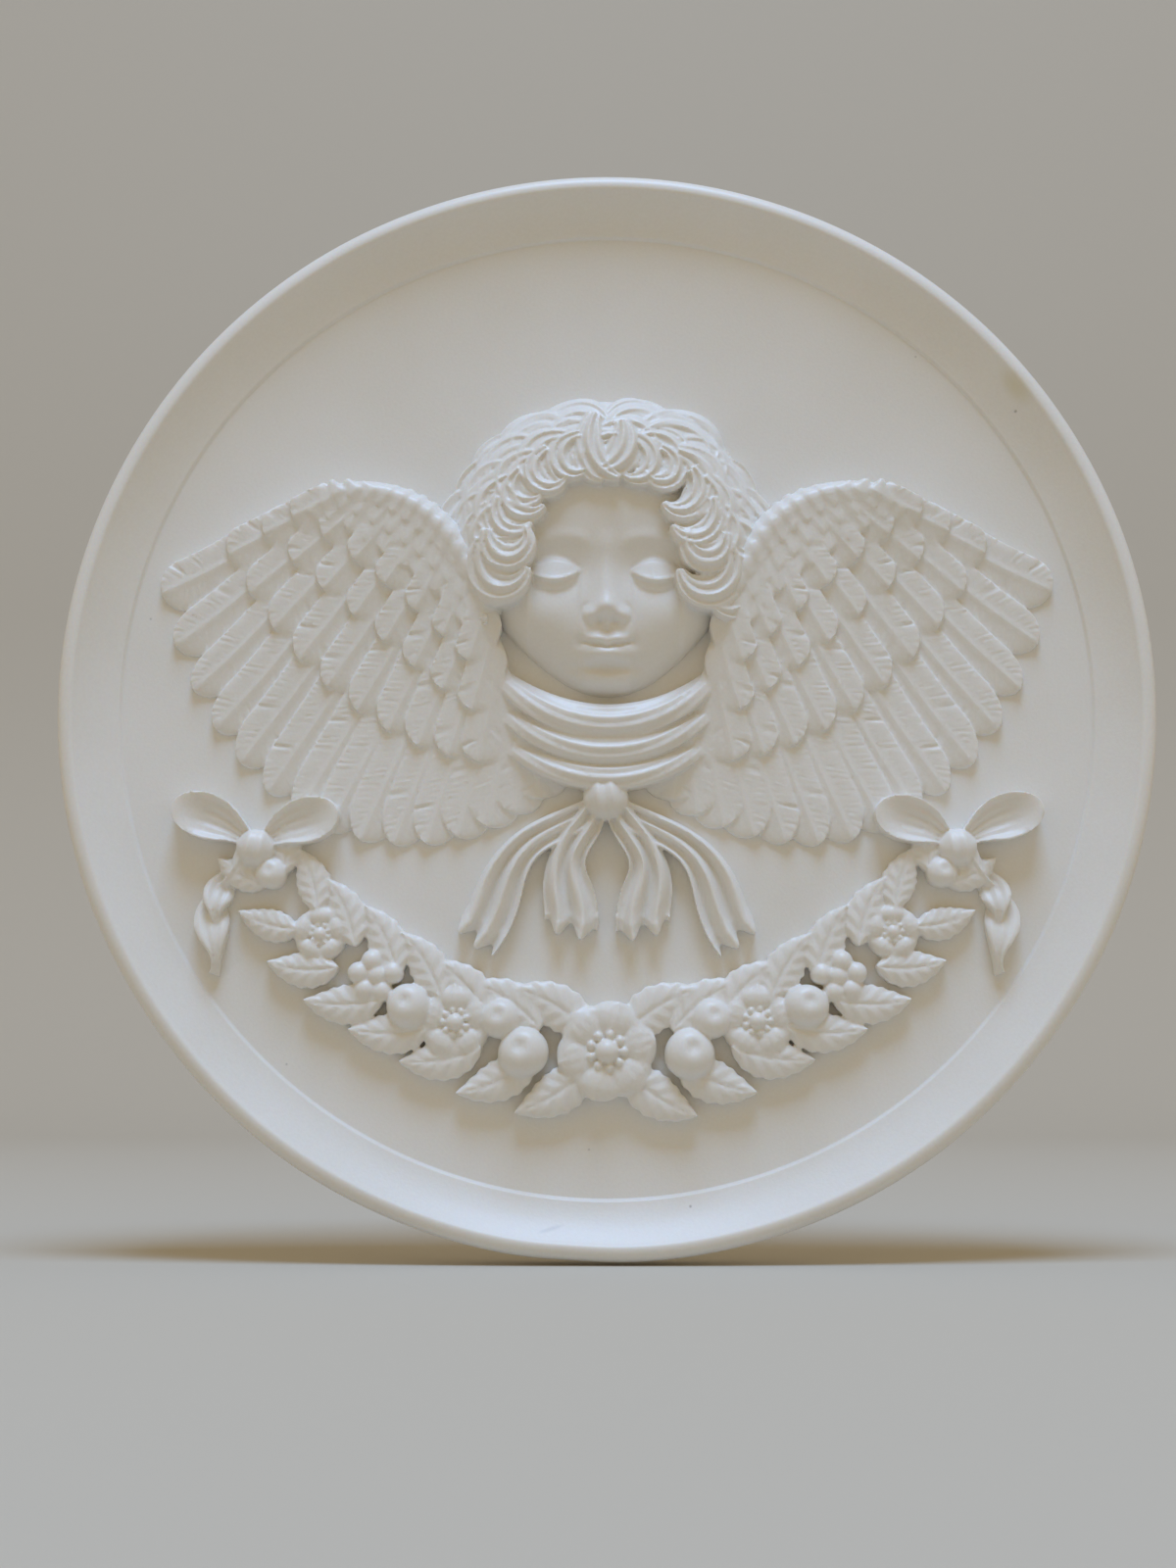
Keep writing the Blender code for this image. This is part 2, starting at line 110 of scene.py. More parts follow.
def bezier(corners, t):
    a, b, c, d = (Vector(corner) for corner in corners)
    u = 1.0 - t
    return a * u**3 + b * (3 * u * u * t) + c * (3 * u * t * t) + d * t**3


def by_hand(number, amount):
    return amount * math.sin(12.9898 * number + 4.1)


print("ease at the middle", ease(0, 1, 0.5), "mound at its foot", round(mound(3, 0, 0, 0, 1, 1), 3))

# %% [markdown]
# ## One tool for feathers, leaves, locks and ribbons
# A feather, a leaf, a petal, a lock of hair and a ribbon are all the same thing to a modeller: a strip
# of clay with an outline, a bent middle line and a carved top. We make it from `create_grid`, move its
# points along the middle line, and extrude it down into the body. It has no undercut, as a mould needs.
# On every blade `s` runs from 0 at the root to 1 at the tip, and `t` from -1 to 1 across it. The rows of
# the grid lie closer towards the tip, where the outline is round.

# %% The blade tool
TIP_CROWDING = 1.4


def add(relief, piece, mirrored):
    bmesh.ops.recalc_face_normals(piece, faces=piece.faces[:])
    mesh = bpy.data.meshes.new("piece")
    piece.to_mesh(mesh)
    relief.from_mesh(mesh)
    if mirrored:
        mesh.transform(Matrix.Scale(-1.0, 4, (1.0, 0.0, 0.0)))
        mesh.flip_normals()
        relief.from_mesh(mesh)
    bpy.data.meshes.remove(mesh)
    piece.free()


def foot(piece):
    made = bmesh.ops.extrude_face_region(piece, geom=piece.faces[:])
    for item in made["geom"]:
        if isinstance(item, bmesh.types.BMVert):
            item.co.z = -SINK


def spine(root, heading, length, bend, coil, wave, stations):
    def heading_at(s):
        return heading + bend * s**coil + wave * math.sin(2.0 * math.pi * s)

    points = [Vector(root)]
    for before, after in zip(stations, stations[1:]):
        angle = heading_at((before + after) / 2)
        points.append(points[-1] + Vector((math.cos(angle), math.sin(angle))) * (length * (after - before)))
    return points, [heading_at(s) for s in stations]


def blade(relief, root, heading, length, width, outline, height, bend=0.0, coil=1.0, wave=0.0,
          rows=24, columns=8, mirrored=True, hem=None):
    piece = bmesh.new()
    bmesh.ops.create_grid(piece, x_segments=rows, y_segments=columns, size=0.5)
    stations = [1.0 - (1.0 - row / rows) ** TIP_CROWDING for row in range(rows + 1)]
    points, headings = spine(root, heading, length, bend, coil, wave, stations)
    for vert in piece.verts:
        row = round((vert.co.x + 0.5) * rows)
        s, t = stations[row], 2.0 * vert.co.y
        across = Vector((-math.sin(headings[row]), math.cos(headings[row])))
        place = points[row] + across * (t * outline(s) * width / 2)
        if hem:
            place += Vector((across.y, -across.x)) * (hem(t) * s**4)
        vert.co = (place.x, place.y, height(s, t, place))
    foot(piece)
    add(relief, piece, mirrored)


print("blade: a grid, a middle line, an outline and a height")

# %% [markdown]
# ## A tool for berries and knots
# Round things start from an icosphere. Its lower half is drawn straight down into the body, so there
# is no hollow under it. `dimple` presses the eye of an apple into the top, and `pleats` folds a knot.

# %% The ball tool
def ball(relief, centre, radius, base, flat=1.0, mirrored=True, dimple=0.0, pleats=0.0):
    piece = bmesh.new()
    bmesh.ops.create_icosphere(piece, subdivisions=4, radius=radius)
    for vert in piece.verts:
        low = vert.co.z < -0.01 * radius
        u, v = vert.co.x / radius, vert.co.y / radius
        press = dimple * mound(u, v, 0.15, 0.25, 0.2, 0.2) + pleats * math.cos(9.0 * u + 1.2 * v)
        top = base + vert.co.z * flat - press
        vert.co = (centre.x + vert.co.x, centre.y + vert.co.y, -SINK if low else top)
    add(relief, piece, mirrored)


print("ball: an icosphere with its lower half drawn down")

# %% [markdown]
# ## Outlines
# Each kind of blade has its own outline: how wide it is at `s` along it, as a share of its full width.
# A feather is nearly parallel with a round tip, a leaf swells and points, and a lock tapers to a hook.

# %% Outlines
def round_tip(s, start):
    return math.sqrt(max(0.001, 1.0 - ((s - start) / (1.0 - start)) ** 2)) if s > start else 1.0


def feather_outline(s):
    return (0.35 + 0.65 * ease(0.0, 0.4, s)) * round_tip(s, 0.84)


def leaf_outline(s):
    return max(0.03, math.sin(math.pi * s**0.8)) ** 0.85 * (1.0 + 0.05 * math.sin(2.0 * math.pi * 6.5 * s))


def petal_outline(s):
    return (0.25 + 0.75 * ease(0.0, 0.6, s)) * round_tip(s, 0.65)


def lock_outline(s):
    return (0.55 + 0.45 * ease(0.0, 0.35, s)) * (1.0 - ease(0.5, 1.12, s)) ** 0.6


def ribbon_outline(s):
    return 0.62 + 0.38 * math.cos(2.0 * math.pi * 1.6 * s)


def fold_outline(s):
    return max(0.05, math.sin(math.pi * (0.08 + 0.84 * s))) ** 0.6


def cloth_outline(s):
    return 0.3 + 0.7 * s**0.8 + 0.05 * math.sin(2.0 * math.pi * 1.7 * s)


print("feather is widest at", max(range(101), key=lambda i: feather_outline(i / 100)) / 100)

# %% [markdown]
# ## The face
# The face is a height over the field: an egg-shaped dome, with the features added and pressed in. It
# follows the plain proportions that drawing books give a small child: the eyes lie a little below the
# middle of the head, a short nose ends nearly halfway from there to the chin, and the cheeks are full.
# The eyes are closed and calm. It is drawn 27.2 mm wide and scaled to the head: in the drawing `p` goes
# across and `q` up from the middle of the head, and `up` is counted from the feature's own line.

# %% Head and eyes
FACE_DRAWN_WIDTH = 27.2
FACE_SCALE = 2.0 * HEAD_HALF_WIDTH / FACE_DRAWN_WIDTH
EYE_OUT, EYE_LINE, EYE_HALF_WIDTH = 5.9, -2.55, 2.9
NOSE_TIP = -6.9
MOUTH_LINE = -11.1


def skull(x, y):
    p, q = x - HEAD_CENTRE.x, y - HEAD_CENTRE.y
    jaw = 1.0 + 0.05 * mound(0.0, q, 0.0, -7.5, 1.0, 3.0) - 0.13 * ease(8.0, HEAD_HALF_HEIGHT, -q)
    reach = math.hypot(p / (HEAD_HALF_WIDTH * jaw), q / HEAD_HALF_HEIGHT)
    return HEAD_DEPTH * (1.0 - reach**2.6) ** 0.55 if reach < 1.0 else -SINK


def eye(p, q):
    out, up = abs(p) - EYE_OUT, q - EYE_LINE
    along = out / EYE_HALF_WIDTH
    hollow = -1.0 * mound(out, up, -0.7, 0.75, 3.0, 1.8)
    lid_ball = 1.2 * max(0.0, 1.0 - along**2 - (up / 2.15) ** 2) ** 0.7
    inside = 1.0 - ease(0.85, 1.15, abs(along))
    over_lashes = up + 1.2 - 1.15 * along**2
    lower_lid = -0.3 * ease(-0.1, 0.5, -over_lashes) * inside
    lash_line = (0.2 * line(over_lashes - 0.25, 0.28) - 0.3 * line(over_lashes + 0.1, 0.22)) * inside
    crease = -0.25 * line(up - 1.8 + along**2, 0.24) * inside
    return hollow + lid_ball + lower_lid + lash_line + crease


print("eyes lie", round(-EYE_LINE * FACE_SCALE, 1), "mm below the middle of the head")

# %% [markdown]
# A nose in low relief is a ridge that widens downwards, a ball at its tip and a small wing on each side.
# The lips are mounds with a line pressed between them, and the chin is a mound under a shallow hollow.
# Brushes could model them too, but a sum of mounds can be changed one number at a time and run again.

# %% Nose and mouth
def nose(p, q):
    if not -11.0 < q < 3.0:
        return 0.0
    side, up, down = abs(p), q - NOSE_TIP, ease(0.0, 5.6, -q)
    ridge = (0.4 + 0.75 * down) * (1.0 - ease(6.4, 8.8, -q))
    ridge *= mound(p, 0.0, 0.0, 0.0, 0.85 + 0.2 * down, 1.0)
    tip = 0.85 * mound(p, up, 0.0, 0.0, 1.1, 0.95)
    wings = 0.65 * mound(side, up, 1.75, -0.75, 0.6, 0.55)
    wing_crease = -0.2 * line(math.hypot(side - 1.5, up + 0.6) - 1.35, 0.25) * ease(1.7, 2.5, side)
    nostrils = -0.6 * mound(side, up, 0.85, -1.45, 0.38, 0.25)
    return ridge * ease(-3.0, -0.5, -q) + tip + wings + wing_crease + nostrils


def mouth(p, q):
    side, up = abs(p), q - MOUTH_LINE
    inside = 1.0 - ease(2.3, 3.2, side)
    parting = -0.7 * line(up - 0.07 * p * p + 0.2 * line(p, 0.6), 0.24) * inside
    upper = 0.75 * mound(side, up, 0.95, 0.75, 0.95, 0.42) + 0.2 * mound(p, up, 0.0, 0.5, 0.5, 0.4)
    lower = 1.35 * mound(p, up, 0.0, -1.0, 1.45, 0.68)
    corners = -0.45 * mound(side, up, 3.0, 0.5, 0.45, 0.45)
    philtrum = -0.25 * mound(p, up, 0.0, 1.8, 0.42, 0.6)
    below_lip = -0.75 * mound(p, up, 0.0, -2.4, 2.2, 0.5)
    chin = 1.6 * mound(p, up, 0.0, -4.2, 2.3, 1.25)
    muzzle = 0.8 * mound(p, up, 0.0, -0.1, 4.0, 2.6)
    return muzzle + parting + upper + lower + corners + philtrum + below_lip + chin


def face(x, y):
    p, q = (x - HEAD_CENTRE.x) / FACE_SCALE, (y - HEAD_CENTRE.y) / FACE_SCALE
    height = skull(x, y)
    if height <= 0.0:
        return height
    side = abs(p)
    cheeks = 1.5 * mound(side, q, 7.3, -7.6, 3.1, 3.2)
    forehead = 1.3 * mound(p, q, 0.0, 6.5, 7.5, 4.5)
    brow_line = q - 1.7 + 0.07 * (side - 5.0) ** 2
    brow = 0.3 * line(brow_line, 0.9) * ease(1.0, 3.0, side) * (1.0 - ease(7.5, 10.0, side))
    return height + eye(p, q) + nose(p, q) + mouth(p, q) + cheeks + forehead + brow


print("tip of the nose stands", round(face(0.0, HEAD_CENTRE.y + NOSE_TIP * FACE_SCALE), 1), "mm high")

# %% [markdown]
# The whole face is one fine grid whose points are lifted to its height, like a cloth laid over a form.
# Round the head the sheet lies lower than the field, inside the body, where it can't be seen.

# %% The head as one sheet
HEAD_COLUMNS, HEAD_ROWS = 170, 210
SHEET_MARGIN = 1.0


def add_head(relief):
    piece = bmesh.new()
    bmesh.ops.create_grid(piece, x_segments=HEAD_COLUMNS, y_segments=HEAD_ROWS, size=0.5)
    wide, tall = 2 * HEAD_HALF_WIDTH + SHEET_MARGIN, 2 * HEAD_HALF_HEIGHT + SHEET_MARGIN
    for vert in piece.verts:
        x, y = HEAD_CENTRE.x + vert.co.x * wide, HEAD_CENTRE.y + vert.co.y * tall
        vert.co = (x, y, max(face(x, y), 0.2 - SINK))
    foot(piece)
    add(relief, piece, mirrored=False)


print("head sheet", HEAD_COLUMNS * HEAD_ROWS, "faces")

# %% [markdown]
# ## The hair
# A cap of clay goes round the face first, then three rows of comma-shaped locks that fall away from
# the crown and curl, each with a few strands scored in it. The outer row turns over the edge of the cap
# and makes its bumpy outline, the front row curls on to the forehead, and two forelocks hide the parting.

# %% The cap of hair
HAIR_LINE_HALF_WIDTH = 13.6
HAIR_LINE_HALF_HEIGHT = 12.2
CAP_SWEEP = 1.88
CAP_COLUMNS, CAP_ROWS = 80, 12


def hair_ring(angle, share):
    inner = Vector((HAIR_LINE_HALF_WIDTH * math.sin(angle), HAIR_LINE_HALF_HEIGHT * math.cos(angle)))
    outer = Vector((HAIR_HALF_WIDTH * math.sin(angle), HAIR_HALF_HEIGHT * math.cos(angle)))
    return HEAD_CENTRE + inner.lerp(outer, share)


def hair_mass(x, y):
    p, q = x - HEAD_CENTRE.x, y - HEAD_CENTRE.y
    reach = math.hypot(p / (HAIR_HALF_WIDTH + 0.6), q / (HAIR_HALF_HEIGHT + 0.6))
    return 0.8 + (HEAD_DEPTH + 0.6) * max(0.0, 1.0 - reach**2.6) ** 0.55


def add_cap(relief):
    piece = bmesh.new()
    bmesh.ops.create_grid(piece, x_segments=CAP_COLUMNS, y_segments=CAP_ROWS, size=0.5)
    for vert in piece.verts:
        angle, share = CAP_SWEEP * HAIR_SWEEP * vert.co.x, vert.co.y + 0.5
        place = hair_ring(angle, 0.04 + 0.88 * share)
        vert.co = (place.x, place.y, hair_mass(place.x, place.y))
    foot(piece)
    add(relief, piece, mirrored=False)


print("cap", CAP_COLUMNS * CAP_ROWS, "faces, and at the temple",
      round(hair_mass(HEAD_CENTRE.x + HAIR_LINE_HALF_WIDTH, HEAD_CENTRE.y), 1), "mm high")

# %% [markdown]
# Each row of locks says how many there are, where they start between the hair line and the outline,
# how much of the head they go round, their length and width in millimetres, how far they turn out from
# the crown in degrees, their curl in radians, and how high and how tilted they lie.

# %% Locks
HAIR_ROWS = [
    (14, 0.42, 1.00, 12.0, 6.6, 64.0, -3.0, 0.0, 0.45),
    (12, 0.40, 0.96, 11.5, 5.8, 24.0, -3.2, 0.5, 0.4),
    (11, 0.34, 0.92, 9.5, 4.4, -2.0, -3.4, 0.7, 0.3),
]
LOCK_ROWS, LOCK_COLUMNS = 40, 26


def add_locks(relief):
    for count, share, sweep, length, width, turn_out, bend, lift, tilt in HAIR_ROWS:
        for i in range(count):
            across = 2.0 * (i + 0.5) / count - 1.0
            side = 1.0 if across > 0 else -1.0
            angle = across * HAIR_SWEEP * sweep - side * 0.12 + by_hand(i + count, 0.03)

            def height(s, t, place, lift=lift + by_hand(3 * i + count, 0.15), slope=side * tilt, swirl=i):
                strands = 0.24 * math.cos(2.0 * math.pi * (1.7 * t + 0.4 * s + 0.2 * swirl))
                wisps = 0.1 * math.cos(2.0 * math.pi * (4.1 * t - 0.5 * s))
                crown = 1.2 * (1.0 - t * t) * (1.0 - 0.35 * s)
                return hair_mass(place.x, place.y) + lift + crown + slope * t + strands + wisps

            fall = math.radians(90.0 + side * (turn_out - 90.0)) - angle + by_hand(2 * i + count, 0.12)
            blade(relief, hair_ring(angle, share), fall, length * (1.0 + by_hand(5 * i + count, 0.1)),
                  width * (1.0 + by_hand(7 * i + count, 0.08)), lock_outline, height,
                  bend=side * bend * (1.0 + by_hand(4 * i + count, 0.15)), coil=1.2, rows=LOCK_ROWS,
                  columns=LOCK_COLUMNS, mirrored=False)


print("locks", sum(row[0] for row in HAIR_ROWS))

# %% [markdown]
# The rows of the left half and the right half meet in a parting. Two forelocks start beside it and fall
# across it, as a modeller would lay them to hide a seam.

# %% Forelocks
FORELOCKS = [(0.12, 0.56, -72.0, 9.0, -1.7), (-0.08, 0.66, -110.0, 11.0, 1.6)]
FORELOCK_WIDTH = 4.8


def forelock_height(s, t, place):
    strands = 0.24 * math.cos(2.0 * math.pi * (1.6 * t + 0.5 * s))
    return hair_mass(place.x, place.y) + 1.2 + 1.3 * (1.0 - t * t) * (1.0 - 0.3 * s) + strands


def add_forelocks(relief):
    for angle, share, heading, length, bend in FORELOCKS:
        blade(relief, hair_ring(angle, share), math.radians(heading), length, FORELOCK_WIDTH, lock_outline,
              forelock_height, bend=bend, coil=1.3, rows=LOCK_ROWS, columns=LOCK_COLUMNS, mirrored=False)


print("forelocks", len(FORELOCKS))

# %% [markdown]
# ## The wings
# A carver lays a wing out as an arm, which rises from behind the neck, and an edge, where the feather
# tips end. Flight feathers run from one to the other, and shorter rows are laid over them like tiles,
# each feather with a quill along it and fine barbs to both sides. Each row says how many there are,
# where along the arm the first one is, where they start and end between arm and edge, how wide they
# are and how high they lie. Only the right wing is made here: the tool puts its mirror image on the left.

# %% Feathers
FEATHER_ROWS = [
    (15, 0.05, 0.12, 1.00, 6.6, 0.0),
    (10, 0.24, 0.08, 0.62, 6.2, 0.75),
    (8, 0.29, 0.04, 0.41, 5.6, 1.4),
    (7, 0.34, -0.02, 0.24, 5.0, 2.0),
]
BARB_SPACING = 0.85
BARB_DEPTH = 0.05
QUILL_SIDE = 0.08


def wing_swell(share):
    return 0.9 + 1.3 * (1.0 - share) ** 1.5


def add_feather(relief, number, along, near, far, width, lift):
    arm, edge = bezier(WING_ARM, along), bezier(WING_EDGE, along)
    root, tip = arm.lerp(edge, near), arm.lerp(edge, far + by_hand(number, 0.018))
    reach = tip - root
    bend = 0.25 + by_hand(2 * number, 0.05)
    splits = [(side, (0.62 + by_hand(3 * number + side, 0.2)) * reach.length) for side in (-1, 1)]

    def height(s, t, place):
        share = near + (far - near) * s
        off_quill = abs(t - QUILL_SIDE)
        slant = s * reach.length - 1.9 * off_quill
        quill = 0.3 * line(t - QUILL_SIDE, 0.1) * (1.0 - 0.5 * s)
        ragged = noise.noise(Vector((0.5 * place.x, 0.5 * place.y, number)))
        barbs = BARB_DEPTH * (1.0 + ragged) * math.sin(2.0 * math.pi * slant / BARB_SPACING + 3.0 * ragged)
        vane = barbs * ease(0.1, 0.3, off_quill) * ease(0.0, 0.1, s)
        for side, at in splits:
            if side * (t - QUILL_SIDE) > 0.0:
                vane -= 0.2 * line(slant - at, 0.3) * ease(0.15, 0.6, off_quill)
        bedded = (0.7 + 0.8 * lift) * (1.0 - ease(0.0, 0.25, s))
        return wing_swell(share) + lift + 0.2 * (1.0 - t * t) + 0.38 * t + quill + vane - 0.2 * s - bedded

    blade(relief, root, math.atan2(reach.y, reach.x) - bend / 2, reach.length,
          width * (1.0 + by_hand(4 * number, 0.05)), feather_outline, height, bend=bend,
          rows=max(24, int(reach.length / 0.2)), columns=20)


def add_feathers(relief):
    for count, first, near, far, width, lift in FEATHER_ROWS:
        for i in range(count):
            along = first + (1.0 - first) * i / (count - 1)
            add_feather(relief, i + 20 * count, along, near, far, width, lift)


print("feathers on each wing", sum(row[0] for row in FEATHER_ROWS))

# %% [markdown]
# The arm is a row of beads of clay that run into each other. Three rows of small coverts, like scales,
# follow the round of it, so their height starts from the top of the beads under them.

# %% Arm and coverts
COVERT_ROWS = [
    (10, 0.40, 0.00, 0.17, 5.2, 0.10),
    (11, 0.38, -0.03, 0.11, 4.9, 0.35),
    (12, 0.40, -0.055, 0.05, 4.4, 0.60),
]
BEAD_COUNT = 40
ARM_FIRST = 0.34
ARM_RADIUS, ARM_TAPER = 2.6, 0.8
ARM_BASE, ARM_FLATNESS = 2.2, 0.9
ARM_STATIONS = [ARM_FIRST + (1.0 - ARM_FIRST) * i / (BEAD_COUNT - 1) for i in range(BEAD_COUNT)]
ARM_BEADS = [(bezier(WING_ARM, along), ARM_RADIUS - ARM_TAPER * along) for along in ARM_STATIONS]
COVERT_LAST = 0.99
COVERT_BED = 3.8


def arm_top(place):
    over_beads = max(radius**2 - (place - centre).length_squared for centre, radius in ARM_BEADS)
    return ARM_BASE + ARM_FLATNESS * math.sqrt(max(0.0, over_beads))


def add_covert(relief, number, along, near, far, width, lift):
    arm, edge = bezier(WING_ARM, along), bezier(WING_EDGE, along)
    root = arm.lerp(edge, near)
    reach = arm.lerp(edge, far + by_hand(number, 0.012)) - root

    def height(s, t, place):
        quill = 0.16 * line(t - 0.05, 0.12) * (1.0 - 0.5 * s)
        roof = max(arm_top(place), COVERT_BED * ease(0.0, 0.5, s))
        return roof + lift * ease(0.0, 0.4, s) + 0.4 * (1.0 - t * t) + 0.15 * t + quill - 0.15 * s

    blade(relief, root, math.atan2(reach.y, reach.x) - 0.1, reach.length, width, petal_outline, height,
          bend=0.2, rows=24, columns=14)


def add_arm(relief):
    for centre, radius in ARM_BEADS:
        ball(relief, centre, radius, ARM_BASE, flat=ARM_FLATNESS)
    for count, first, near, far, width, lift in COVERT_ROWS:
        for i in range(count):
            along = first + (COVERT_LAST - first) * i / (count - 1)
            add_covert(relief, i + 30 * count, along, near, far, width, lift)


print("coverts on each wing", sum(row[0] for row in COVERT_ROWS))

# %% [markdown]
# ## The scarf
# Under the chin a cloth hides where the wings begin. It is three hanging folds, a knot and four long
# ends. Cloth in relief is read from its ridges: broad ones for the folds, and finer ones between them.

# %% Folds of the scarf
SCARF_FOLDS = 3


def add_folds(relief):
    for i in range(SCARF_FOLDS):
        bend, length, low = 1.9 - 0.2 * i, 36.0 - 2.5 * i, -2.4 - 3.6 * i
        radius = length / bend
        start = (-radius * math.sin(bend / 2), low + radius * (1.0 - math.cos(bend / 2)))

        def height(s, t, place, drop=i):
            sag = math.sin(math.pi * s) ** 0.6
            creases = 0.16 * math.sin(2.0 * math.pi * (1.6 * t + 1.1 * math.sin(math.pi * s) + 0.3 * drop))
            crown = 1.2 * (1.0 - t * t) * sag
            return 0.4 - 0.3 * drop + 3.2 * sag + crown - 0.45 * t + creases * sag

        blade(relief, start, -bend / 2, length, 4.6 - 0.3 * i, fold_outline, height, bend=bend,
              rows=70, columns=16, mirrored=False)


print("scarf folds", SCARF_FOLDS)

# %% [markdown]
# The knot is a ball with pleats over it, and the ends hang from it in a fan. Each end is one blade. Its top
# is waved into pleats, and the same wave is cut into its hem, so that the hem reads as folded cloth.

# %% Knot and ends of the scarf
SCARF_KNOT = Vector((0.0, -12.5))
SCARF_ENDS = [(-48.0, 25.0, 7.0, 0.0), (-78.0, 18.0, 7.5, 0.5)]
HEM_WAVE = 0.9


def add_scarf_ends(relief):
    ball(relief, SCARF_KNOT, 2.9, 2.2, flat=0.85, mirrored=False, pleats=0.2)
    for heading, length, width, lift in SCARF_ENDS:

        def pleat(t, s, drop=lift):
            return math.cos(2.0 * math.pi * (1.15 * t + 0.3 * s + 0.4 * drop))

        def height(s, t, place, lift=lift):
            folds = (0.45 + 0.3 * s) * pleat(t, s)
            creases = 0.13 * math.cos(2.0 * math.pi * (3.1 * t - 0.6 * s)) * (1.0 - 0.5 * s)
            border = 0.16 * line(s - 0.93, 0.02)
            return 1.9 + lift + folds + creases + border - 0.3 * s

        blade(relief, SCARF_KNOT + Vector((1.2, -0.5)), math.radians(heading), length, width, cloth_outline,
              height, wave=0.4, rows=80, columns=36, hem=lambda t: HEM_WAVE * pleat(t, 1.0))


print("scarf ends", 2 * len(SCARF_ENDS))

# %% [markdown]
# ## The garland
# The garland hangs as an arc between the two bows. A cord would hang in a catenary, but a garland bound
# on a stiff core is close to a round arc, and places along an arc are easy to work out.

# %% The hanging line
def garland_arc():
    drop = BOW.y - GARLAND_LOW
    radius = (BOW.x**2 + drop**2) / (2.0 * drop)
    return radius, Vector((0.0, GARLAND_LOW + radius)), math.asin(BOW.x / radius)


def garland_point(angle, outward=0.0):
    radius, centre, _ = garland_arc()
    return centre + Vector((math.sin(angle), -math.cos(angle))) * (radius + outward)


print("garland radius", round(garland_arc()[0], 1), "mm")

# %% [markdown]
# An open blossom is a ring of petals round a button and its stamens. Each petal is a short blade that
# rises to a cup and turns down at its tip.

# %% Blossoms
STAMENS = 9
BLOSSOMS = [(0.38, 4.8, 2.2, 5), (0.78, 3.6, 1.8, 5)]
MIDDLE_BLOSSOM = (6.6, 2.6, 6)


def blossom(relief, centre, radius, base, petals, mirrored=True):
    for i in range(petals):

        def height(s, t, place):
            cup = 0.9 * ease(0.1, 0.6, s) - 0.5 * ease(0.7, 1.0, s) - 0.9 * t * t
            return base + cup + 0.07 * math.cos(2.0 * math.pi * 2.5 * t) * ease(0.2, 0.6, s)

        width = 1.95 * radius * math.sin(math.pi / petals)
        blade(relief, centre, 2.0 * math.pi * (i + 0.25) / petals, radius, width, petal_outline, height,
              rows=26, columns=16, mirrored=mirrored)
    ball(relief, centre, 0.24 * radius, base + 0.2, mirrored=mirrored)
    for i in range(STAMENS):
        turn = 2.0 * math.pi * i / STAMENS
        seed = centre + Vector((math.cos(turn), math.sin(turn))) * 0.33 * radius
        ball(relief, seed, 0.085 * radius, base + 0.45, mirrored=mirrored)


def add_blossoms(relief):
    blossom(relief, garland_point(0.0), *MIDDLE_BLOSSOM, mirrored=False)
    for along, radius, base, petals in BLOSSOMS:
        blossom(relief, garland_point(along), radius, base, petals)


print("blossoms", 1 + 2 * len(BLOSSOMS), "with", STAMENS, "stamens each")

# %% [markdown]
# Leaves lie along both sides of the garland and point up it. They have a pressed midrib and side veins, and
# get smaller towards the bows. Apples with a pressed eye and bunches of six grapes fill the middle.

# %% Leaves, fruit and grapes
LEAF_STATIONS = 8
LEAF_LENGTH, LEAF_WIDTH = 12.5, 6.2
GRAPE_RADIUS = 1.45
FRUITS = [(0.20, 1.4, 3.3), (0.275, -2.2, 2.6), (0.50, 0.8, 2.9), (0.97, 0.0, 2.0)]
GRAPES = [(0.575, -1.8), (0.575, 1.0), (0.605, -0.4), (0.61, 2.0), (0.635, -1.6), (0.645, 0.7)]


def add_leaf(relief, root, heading, size, bend):
    def height(s, t, place):
        rib = 0.34 * line(t, 0.1) * (1.0 - 0.5 * s)
        veins = 0.1 * math.sin(2.0 * math.pi * (5.5 * s - 1.1 * abs(t))) * ease(0.08, 0.3, abs(t))
        return (1.5 * size + 0.9) - 0.5 * s + 0.6 * (1.0 - t * t) - rib + veins

    blade(relief, root, heading, LEAF_LENGTH * size, LEAF_WIDTH * size, leaf_outline, height, bend=bend,
          rows=44, columns=16)


def add_garland(relief):
    end = garland_arc()[2]
    for i in range(LEAF_STATIONS):
        share = (i + 0.3) / LEAF_STATIONS
        for side in (-1.0, 1.0):
            size = (1.0 - 0.4 * share) * (1.0 + by_hand(2 * i + side, 0.06))
            root = garland_point(end * share, side * 2.2 * size)
            add_leaf(relief, root, end * share - side * 0.8 + by_hand(3 * i + side, 0.08), size, side * 0.55)
    for along, outward, radius in FRUITS:
        ball(relief, garland_point(along, outward), radius, 1.4 + 0.25 * radius, flat=0.8,
             dimple=0.22 * radius)
    for along, outward in GRAPES:
        ball(relief, garland_point(along, outward), GRAPE_RADIUS, 1.8)


print("leaves", 4 * LEAF_STATIONS, "fruits", 2 * len(FRUITS), "grapes", 2 * len(GRAPES))

# %% [markdown]
# ## The bows
# Each bow is two loops, a knot and two ends. The loops are cupped, so that they read as turned ribbon,
# and the ends twist: a ribbon that turns shows wide, then narrow, then wide again.

# %% Bows
LOOPS = [(46.0, 12.5, -0.8), (136.0, 12.0, 0.8)]
LOOP_WIDTH = 6.0


def loop_height(s, t, place):
    rim = 1.0 - (1.0 - t * t) * (1.0 - ease(0.6, 1.0, s))
    creases = 0.16 * math.cos(2.0 * math.pi * 2.2 * t) * (1.0 - ease(0.4, 0.9, s))
    return 1.8 + 0.3 * s + 1.4 * rim * ease(0.05, 0.4, s) + creases


def tail_height(s, t, place):
    return 1.5 + 0.7 * math.sin(2.0 * math.pi * 1.6 * s) + 0.3 * t + 0.14 * math.cos(2.0 * math.pi * 1.5 * t)


